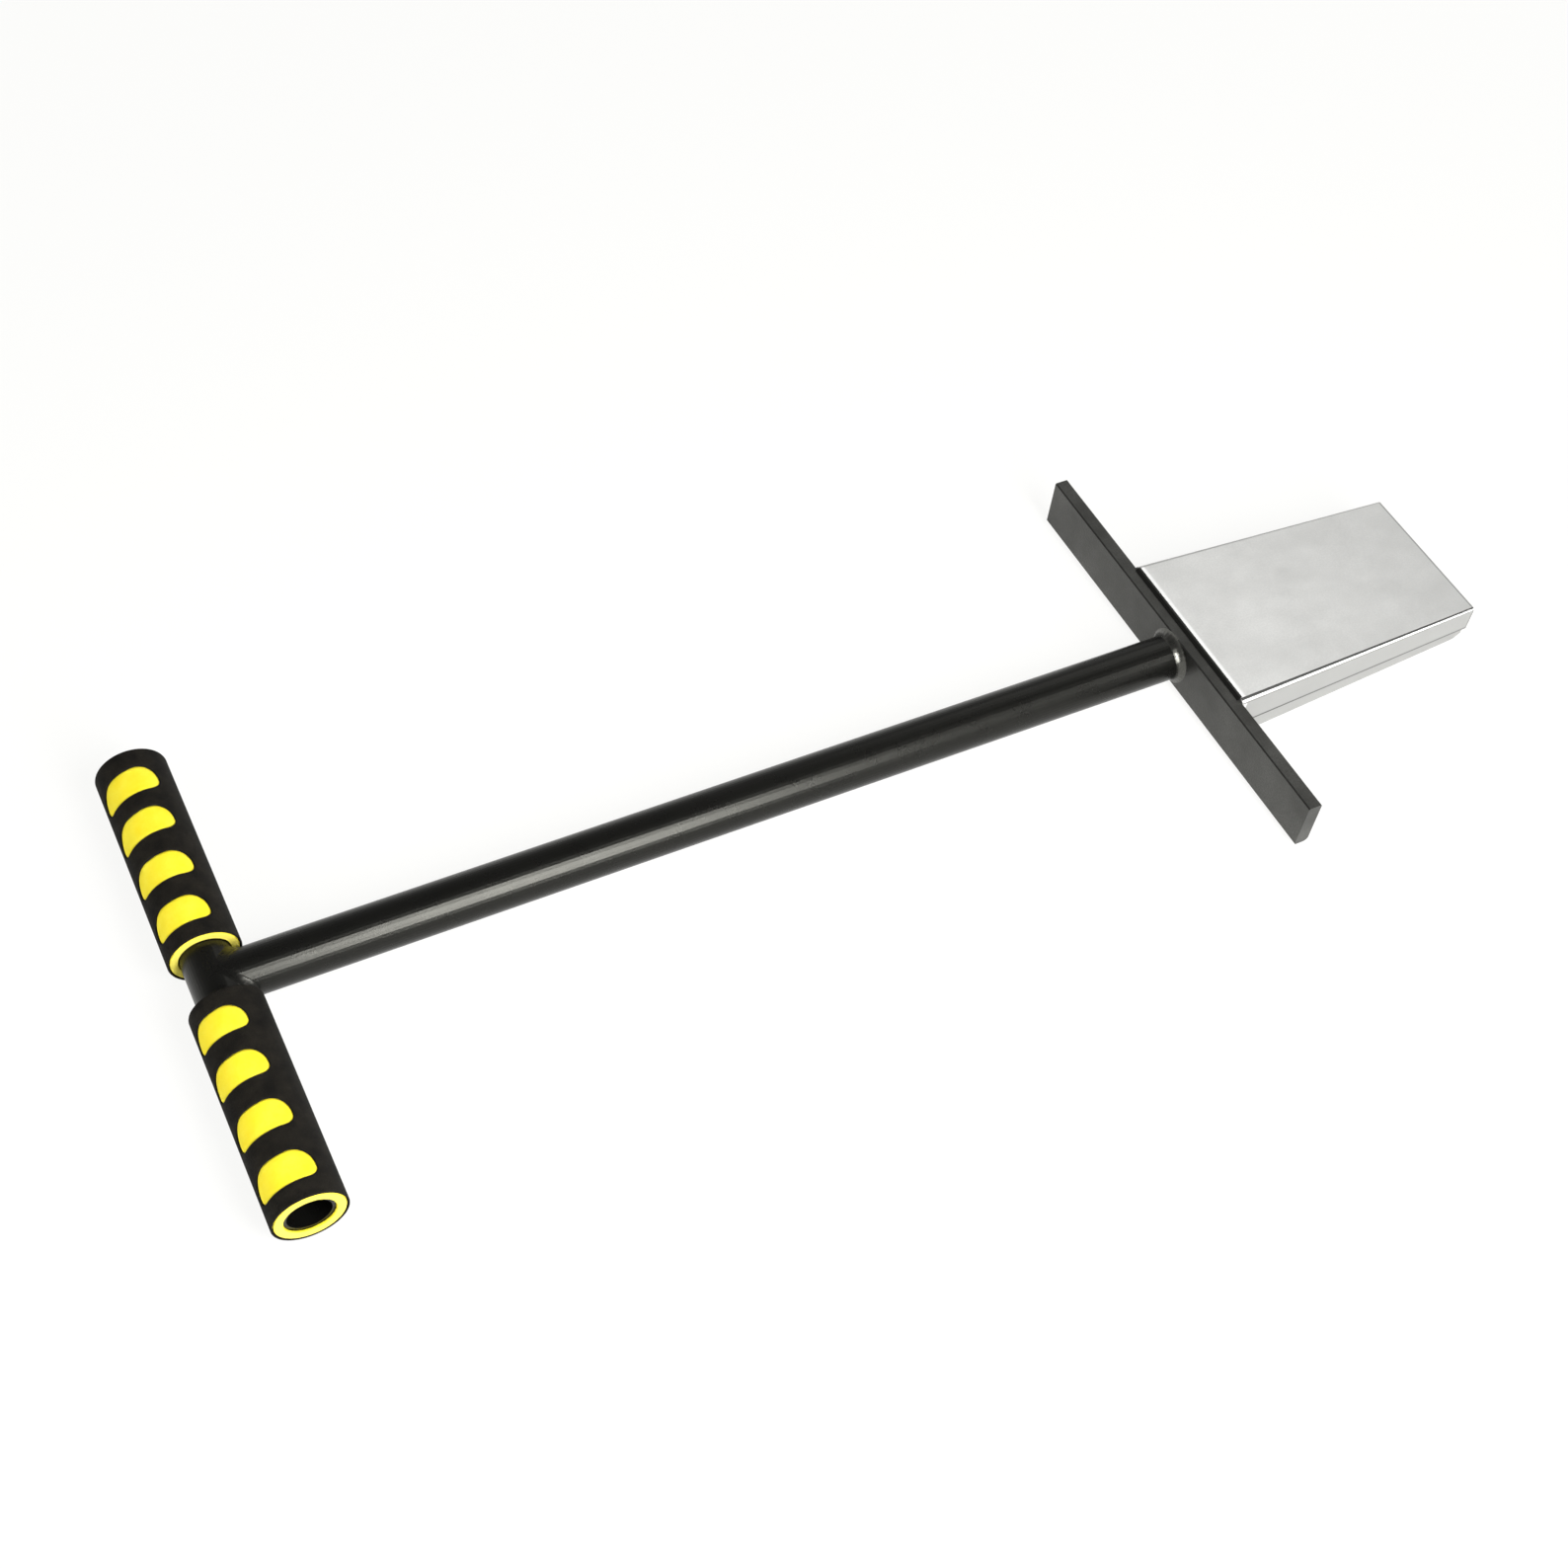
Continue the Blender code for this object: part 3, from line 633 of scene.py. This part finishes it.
def flat_sheet(low, high, outlines, offsets, end_rows):
    """A grip's skin laid flat: its points, how far each is outward of the nearest window's edge, and its faces.

    offsets are the distances of the rings of points round each window, outward where positive.
    """
    half = math.pi * GRIP_RADIUS
    points, edges, reach = [], [], []
    for outline in outlines:
        for offset in offsets:
            ring = offset_outward(outline, offset)
            start = len(points)
            points.extend(ring)
            reach.extend([offset] * len(ring))
            edges.extend((start + i, start + (i + 1) % len(ring)) for i in range(len(ring)))
    wide = [offset_outward(outline, max(offsets) + SHEET_CLEARANCE) for outline in outlines]
    narrow = [offset_outward(outline, min(offsets) - SHEET_CLEARANCE) for outline in outlines]
    first, last = low + end_rows[-1], high - end_rows[-1]
    rows = [low + inset for inset in end_rows]
    rows += [first + (last - first) * k / SHEET_ROWS for k in range(1, SHEET_ROWS)]
    rows += [high - inset for inset in reversed(end_rows)]
    for y in rows:
        for k in range(SHEET_COLUMNS + 1):
            spot = Vector((-half + 2 * half * k / SHEET_COLUMNS, y))
            in_window = any(inside(spot, ring) for ring in narrow)
            if in_window or not any(inside(spot, ring) for ring in wide):
                points.append(spot)
                reach.append(min(offsets) if in_window else max(offsets))
    made, _, faces, origins, _, _ = delaunay_2d_cdt(points, edges, [], 0, MERGE_DISTANCE)
    made_reach = [reach[origin[0]] if origin else max(offsets) for origin in origins]
    return made, made_reach, faces


def drop_at_lip(inset, rounding):
    """How far the surface is below full height at a distance in from a rounded edge."""
    if inset >= rounding:
        return 0.0
    across = 1 - max(inset, 0.0) / rounding
    return rounding * (1 - math.sqrt(1 - across**2))


def round_handle(angle, y, radius):
    """A place at an angle from the top towards -X round the handle's axis."""
    return (HANDLE_X - radius * math.sin(angle), y, AXIS_Z + radius * math.cos(angle))


def wrap(shape, points, radii):
    """Wraps flat points round the handle, joining the two sides of the seam underneath: a vertex for each point."""
    half = math.pi * GRIP_RADIUS
    seam = {}
    verts = []
    for point, radius in zip(points, radii):
        on_seam = abs(abs(point.x) - half) < SEAM_TOLERANCE
        key = round(point.y, 6)
        if on_seam and key in seam:
            verts.append(seam[key])
            continue
        angle = -math.pi if on_seam else point.x / GRIP_RADIUS
        verts.append(shape.verts.new(round_handle(angle, point.y, radius)))
        if on_seam:
            seam[key] = verts[-1]
    return verts


def grip_cover(name, low, high, outlines, material):
    """The black cover: a thin skin wrapped round the handle and cut through by the windows, its edges softened."""
    points, reach, faces = flat_sheet(low, high, outlines, COVER_RINGS, COVER_END_ROWS)
    radii = []
    for point, offset in zip(points, reach):
        from_end = min(point.y - low, high - point.y)
        drop = max(drop_at_lip(offset, LIP_ROUNDING), drop_at_lip(from_end, END_ROUNDING))
        radii.append(GRIP_RADIUS - min(drop, COVER_LARGEST_DROP))
    shape = bmesh.new()
    outer = wrap(shape, points, radii)
    inner = wrap(shape, points, [GRIP_RADIUS - COVER_WALL] * len(points))
    walls = {}
    for face in faces:
        middle = sum((points[i] for i in face), Vector((0.0, 0.0))) / len(face)
        if any(inside(middle, outline) for outline in outlines):
            continue
        shape.faces.new([outer[i] for i in face])
        shape.faces.new([inner[i] for i in reversed(face)])
        for a, b in zip(face, list(face[1:]) + [face[0]]):
            walls[(outer[a], outer[b])] = (inner[a], inner[b])
    for (a, b), (inner_a, inner_b) in walls.items():
        if (b, a) not in walls:
            shape.faces.new((b, a, inner_a, inner_b))
    drop_loose(shape)
    return new_piece(name, shape, material, "tool", FOAM_SMOOTH_ANGLE)


def pad_swell(offset):
    """How far the sleeve swells at a distance outward of a window's edge: a quarter ellipse, inside it alone."""
    if -offset >= abs(PAD_RINGS[-1]):
        return PAD_RISE
    share = max(-offset + PAD_RINGS[1], 0.0) / (PAD_RINGS[1] - PAD_RINGS[-1])
    return PAD_RISE * math.sqrt(1 - (1 - share) ** 2)


def grip_sleeve(name, low, high, outlines, lip_at_high, material):
    """The yellow sleeve: it swells up into each window, and folds over the open end of the handle tube."""
    points, reach, faces = flat_sheet(low, high, outlines, PAD_RINGS, SLEEVE_END_ROWS)
    radii = []
    for point, offset in zip(points, reach):
        from_end = min(point.y - low, high - point.y)
        radii.append(SLEEVE_RADIUS + pad_swell(offset) - drop_at_lip(from_end, SLEEVE_ROUNDING))
    shape = bmesh.new()
    skin = wrap(shape, points, radii)
    for face in faces:
        shape.faces.new([skin[i] for i in face])
    ends = []
    for y in (low, high):
        ends.append(list({vert for point, vert in zip(points, skin) if abs(point.y - y) < MERGE_DISTANCE}))
    join_ends(shape, ends, low, high, lip_at_high)
    drop_loose(shape)
    return new_piece(name, shape, material, "tool", FOAM_SMOOTH_ANGLE)


def join_ends(shape, ends, low, high, lip_at_high):
    """The sleeve's end faces, lip and bore, from one end ring of its skin to the other."""
    inner_end, outer_end = (low, high) if lip_at_high else (high, low)
    side = 1 if lip_at_high else -1
    fold = min(LIP_FOLD, abs(outer_end) - SLEEVE_STEP - LIP_FOLD_REST)
    profile = []
    for k in range(LIP_FOLD_STEPS + 1):
        angle = math.radians(-90 * k / LIP_FOLD_STEPS)
        y = outer_end + side * (fold * math.cos(angle) - fold)
        profile.append((y, SLEEVE_LIP + fold + fold * math.sin(angle)))
    profile.append((side * SLEEVE_STEP, SLEEVE_LIP))
    profile.append((side * SLEEVE_STEP, SLEEVE_BORE))
    profile.append((inner_end, SLEEVE_BORE))
    first, last = (ends[1], ends[0]) if lip_at_high else (ends[0], ends[1])
    rings = [around_axis(first)]
    for y, radius in profile:
        ring = []
        for k in range(SHEET_COLUMNS):
            angle = -math.pi + 2 * math.pi * k / SHEET_COLUMNS
            ring.append(shape.verts.new(round_handle(angle, y, radius)))
        rings.append(ring)
    rings.append(around_axis(last))
    bridge(shape, rings)


def around_axis(ring):
    """A ring's vertices in order round the handle, from the seam underneath."""

    def turn(vert):
        angle = math.atan2(-(vert.co.x - HANDLE_X), vert.co.z - AXIS_Z)
        return -math.pi if angle > math.pi - SEAM_ANGLE_TOLERANCE else angle

    return sorted(ring, key=turn)


def build_grips(yellow, black):
    for side, low, high, windows, lip_at_high in (
        ("left", LEFT_INNER_END, LEFT_OUTER_END, LEFT_WINDOWS, True),
        ("right", -RIGHT_OUTER_END, -RIGHT_INNER_END, RIGHT_WINDOWS, False),
    ):
        outlines = [evenly(window_outline(low, window), OUTLINE_SPACING) for window in windows]
        cover = grip_cover(f"{side}_foam_cover", low, high, outlines, black)
        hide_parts(f"{side}_grip_cover")
        sleeve = grip_sleeve(f"{side}_foam_sleeve", low, high, outlines, lip_at_high, yellow)
        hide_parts(f"{side}_grip_sleeve")


def ripple(turn, count, height):
    """The small waves that a weld's puddle leaves along its bead."""
    fine = math.sin(FINE_WAVE_RATE * count * turn + FINE_WAVE_START)
    return height * (math.sin(count * turn) + FINE_WAVE_SHARE * fine)


def bead_slope(flatness):
    """A bead's surface from one leg's tip to the other's, as shares of the two legs."""
    slope = []
    for k in range(BEAD_ARC_STEPS + 1):
        share = k / BEAD_ARC_STEPS
        angle = math.pi / 2 * share
        hollow = (1 - math.cos(angle), 1 - math.sin(angle))
        straight = (share, 1 - share)
        slope.append(tuple(h * (1 - flatness) + s * flatness for h, s in zip(hollow, straight)))
    return slope


def handle_bead(material):
    """The bead in the corner between the two tubes: each level slice of it is one hollow slope."""
    shape = bmesh.new()
    rings = []
    for k in range(HANDLE_BEAD_STEPS):
        turn = 2 * math.pi * k / HANDLE_BEAD_STEPS
        beside = abs(math.cos(turn))
        side = 1.0 if math.cos(turn) >= 0 else -1.0
        corner = TUBE_RADIUS * beside
        growth = min(1.0, HANDLE_BEAD_LEAST_SHARE + HANDLE_BEAD_GROWTH * beside)
        leg = HANDLE_BEAD_RADIUS * growth + ripple(turn, *HANDLE_RIPPLES)
        long_leg = HANDLE_BEAD_STRETCH * leg
        profile = [(corner - BEAD_SUNK, corner + leg)]
        for u, v in bead_slope(HANDLE_BEAD_FLATNESS):
            profile.append((corner + long_leg * u, corner + leg * v))
        profile.append((corner + long_leg, corner - BEAD_SUNK))
        profile.append((corner - BEAD_SUNK, corner - BEAD_SUNK))
        z = AXIS_Z + (TUBE_RADIUS + HANDLE_BEAD_LIFT) * math.sin(turn)
        rings.append([shape.verts.new((HANDLE_X + u, SHAFT_Y + side * v, z)) for u, v in profile])
    bridge(shape, rings + rings[:1])
    piece = new_piece("handle_bead", shape, material, "tool", BEAD_SMOOTH_ANGLE)
    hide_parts("handle_weld")


def shaft_bead(material):
    """The bead round the shaft's foot, which swells a little where the torch stopped."""
    shape = bmesh.new()
    foot = HANDLE_X + SHAFT_FOOT
    rings = []
    for k in range(SHAFT_BEAD_STEPS):
        turn = 2 * math.pi * k / SHAFT_BEAD_STEPS
        swell = 1 + TORCH_SWELL * math.cos(turn - TORCH_ANGLE) + UNEVEN_SWELL * math.cos(3 * turn)
        leg = SHAFT_BEAD_LEG * swell + ripple(turn, *SHAFT_RIPPLES)
        rise = SHAFT_BEAD_RISE * swell + ripple(turn, *SHAFT_RIPPLES)
        profile = [(foot + SHAFT_BEAD_SUNK_IN_BAR, -BEAD_SUNK), (foot - leg, -BEAD_SUNK)]
        for u, v in bead_slope(SHAFT_BEAD_FLATNESS):
            profile.append((foot - leg * v, rise * u))
        profile.append((foot + SHAFT_BEAD_SUNK_IN_BAR, rise))
        ring = []
        for x, out in profile:
            radius = TUBE_RADIUS + out
            place = (x, SHAFT_Y + radius * math.cos(turn), AXIS_Z + radius * math.sin(turn))
            ring.append(shape.verts.new(place))
        rings.append(ring)
    bridge(shape, rings + rings[:1])
    piece = new_piece("shaft_bead", shape, material, "tool", BEAD_SMOOTH_ANGLE)
    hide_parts("shaft_weld")


def dress_nodes(frame, finishes):
    """Gives the solids that show themselves their finishes."""
    for name, material in finishes.items():
        node = frame["nodes"][name]
        if not node.material_slots:
            node.data.materials.append(material)
        for slot in node.material_slots:
            slot.material = material


def let_floor_glow(paper):
    """Gives part of the floor's white to the camera and to mirrored rays as it is, and makes it one-sided.

    The shadows near the tool stay, and the floor's far end joins the white backdrop. From below, the
    floor is clear, so that a camera under it sees the tool.
    """
    tree = paper.tree
    by_camera, mirrored = ray_kinds(tree)
    own_white = ranged(tree, length_of(tree, paper.coords), FLOOR_GLOW, 1.0, GLOW_NEAR, GLOW_FAR)
    share = calculated(tree, "MULTIPLY", calculated(tree, "MAXIMUM", by_camera, mirrored), own_white)
    glow = tree.nodes.new("ShaderNodeEmission")
    glow.inputs["Color"].default_value = FLOOR_WHITE
    top = mixed_shaders(tree, share, paper.shader.outputs[0], glow.outputs[0])
    below = tree.nodes.new("ShaderNodeNewGeometry").outputs["Backfacing"]
    clear = tree.nodes.new("ShaderNodeBsdfTransparent").outputs[0]
    tree.links.new(mixed_shaders(tree, below, top, clear), tree.nodes["Material Output"].inputs["Surface"])


def build_floor():
    """A pale floor that takes the tool's shadow."""
    shape = bmesh.new()
    corners = ((-1, -1), (1, -1), (1, 1), (-1, 1))
    shape.faces.new([shape.verts.new((FLOOR_REACH * x, FLOOR_REACH * y, 0.0)) for x, y in corners])
    mesh = bpy.data.meshes.new("floor")
    shape.to_mesh(mesh)
    shape.free()
    floor = bpy.data.objects.new("floor", mesh)
    bpy.context.collection.objects.link(floor)
    paper = Material("white_paper", PAPER, PAPER_ROUGHNESS)
    fibre = paper.spread(paper.noise(PAPER_FIBRE_SIZE, detail=4.0), 0.0, 1.0)
    paper.drive("Base Color", paper.mixed(fibre, PAPER_DARK, PAPER_LIGHT))
    paper.set("Specular IOR Level", PAPER_GLOSS)
    let_floor_glow(paper)
    mesh.materials.append(paper.material)


def build_room():
    """Light from all round, strongest at the horizon, and a white backdrop for what the camera sees.

    Mirrored rays see the backdrop up to its top, and the room above it.
    """
    world = bpy.data.worlds.new("studio")
    bpy.context.scene.world = world
    world.use_nodes = True
    tree = world.node_tree
    background = tree.nodes["Background"]
    background.inputs["Color"].default_value = (1.0, 1.0, 1.0, 1.0)
    height = parts_of(tree, tree.nodes.new("ShaderNodeTexCoord").outputs["Generated"])["Z"]
    lowness = calculated(tree, "SUBTRACT", 1.0, height, clamp=True)
    level = ranged(tree, calculated(tree, "POWER", lowness, LEVEL_FALL), ZENITH_LEVEL, HORIZON_LEVEL)
    by_camera, mirrored = ray_kinds(tree)
    on_backdrop = calculated(tree, "MULTIPLY", mirrored, ranged(tree, height, 1.0, 0.0, *BACKDROP_TOP))
    white = calculated(tree, "MAXIMUM", by_camera, on_backdrop)
    feed(tree, background.inputs["Strength"], ranged(tree, white, level, BACKDROP_LEVEL))


def area_light(name, place, target, size, power):
    data = bpy.data.lights.new(name, "AREA")
    data.shape = "RECTANGLE"
    data.size, data.size_y = size
    data.energy = power
    light = bpy.data.objects.new(name, data)
    light.location = place
    aim = Vector(target) - Vector(place)
    light.rotation_euler = aim.to_track_quat("-Z", "Y").to_euler()
    bpy.context.collection.objects.link(light)
    return light


def build_lights():
    area_light("shaft_key", *SHAFT_KEY)
    area_light("bend_strip", *BEND_STRIP)
    area_light("blade_box", *BLADE_BOX)
    grip_fill = area_light("grip_fill", *GRIP_FILL)
    # Mirrored in the blade's top, this lamp would burn it out when seen from the mouth
    grip_fill.visible_glossy = False


def build_camera():
    data = bpy.data.cameras.new("photo_camera")
    data.sensor_fit = "HORIZONTAL"
    data.sensor_width = CAMERA_SENSOR
    data.lens = CAMERA_LENS
    data.clip_start = CAMERA_NEAR_LIMIT
    camera = bpy.data.objects.new("photo_camera", data)
    right = Vector(CAMERA_RIGHT)
    up = -Vector(CAMERA_DOWN)
    back = -Vector(CAMERA_FORWARD)
    turn = Matrix((right, up, back)).transposed().to_4x4()
    camera.matrix_world = Matrix.Translation(CAMERA_PLACE) @ turn
    bpy.context.collection.objects.link(camera)
    bpy.context.scene.camera = camera


def main():
    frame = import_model()
    tube_coat = powder_coat(
        "tube_powder_coat",
        dark=(9, 9, 8),
        light=(13, 13, 12),
        roughness=0.28,
        gloss=0.3,
        grit_size=0.0007,
        grit_height=0.00004,
        unevenness=0.018,
    )
    bar_coat = powder_coat(
        "bar_powder_coat",
        dark=(20, 20, 19),
        light=(60, 60, 58),
        roughness=0.36,
        gloss=0.5,
        grit_size=0.0009,
        grit_height=0.00008,
        dark_edges=BAR_EDGES,
    )
    weld_coat = powder_coat(
        "weld_powder_coat", dark=(10, 10, 9), light=(14, 14, 13), roughness=0.27, gloss=0.8, ior=1.6
    )
    shell_steel = sheet_steel("shell_stainless", is_shell=True)
    door_steel = sheet_steel("door_stainless")
    black = foam(
        "black_foam", dark=(9, 8, 6), light=(32, 29, 23), pore_depth=0.00016, roughness=0.86, sheen=0.0
    )
    yellow = foam(
        "yellow_foam",
        dark=(237, 215, 34),
        light=(240, 225, 62),
        pore_depth=0.00005,
        roughness=0.8,
        sheen=0.03,
        cut=(208, 195, 84),
    )
    dress_nodes(
        frame,
        {
            "crossbar_tube": tube_coat,
            "shaft_tube": tube_coat,
            "foot_bar": bar_coat,
            "blade_weld": tube_coat,
            "blade_shell": shell_steel,
            "blade_door": door_steel,
            "left_pivot_rivet": door_steel,
            "right_pivot_rivet": door_steel,
        },
    )
    build_grips(yellow, black)
    handle_bead(tube_coat)
    shaft_bead(weld_coat)
    build_floor()
    build_room()
    build_lights()
    build_camera()
    bpy.context.scene.view_settings.view_transform = "Standard"


main()
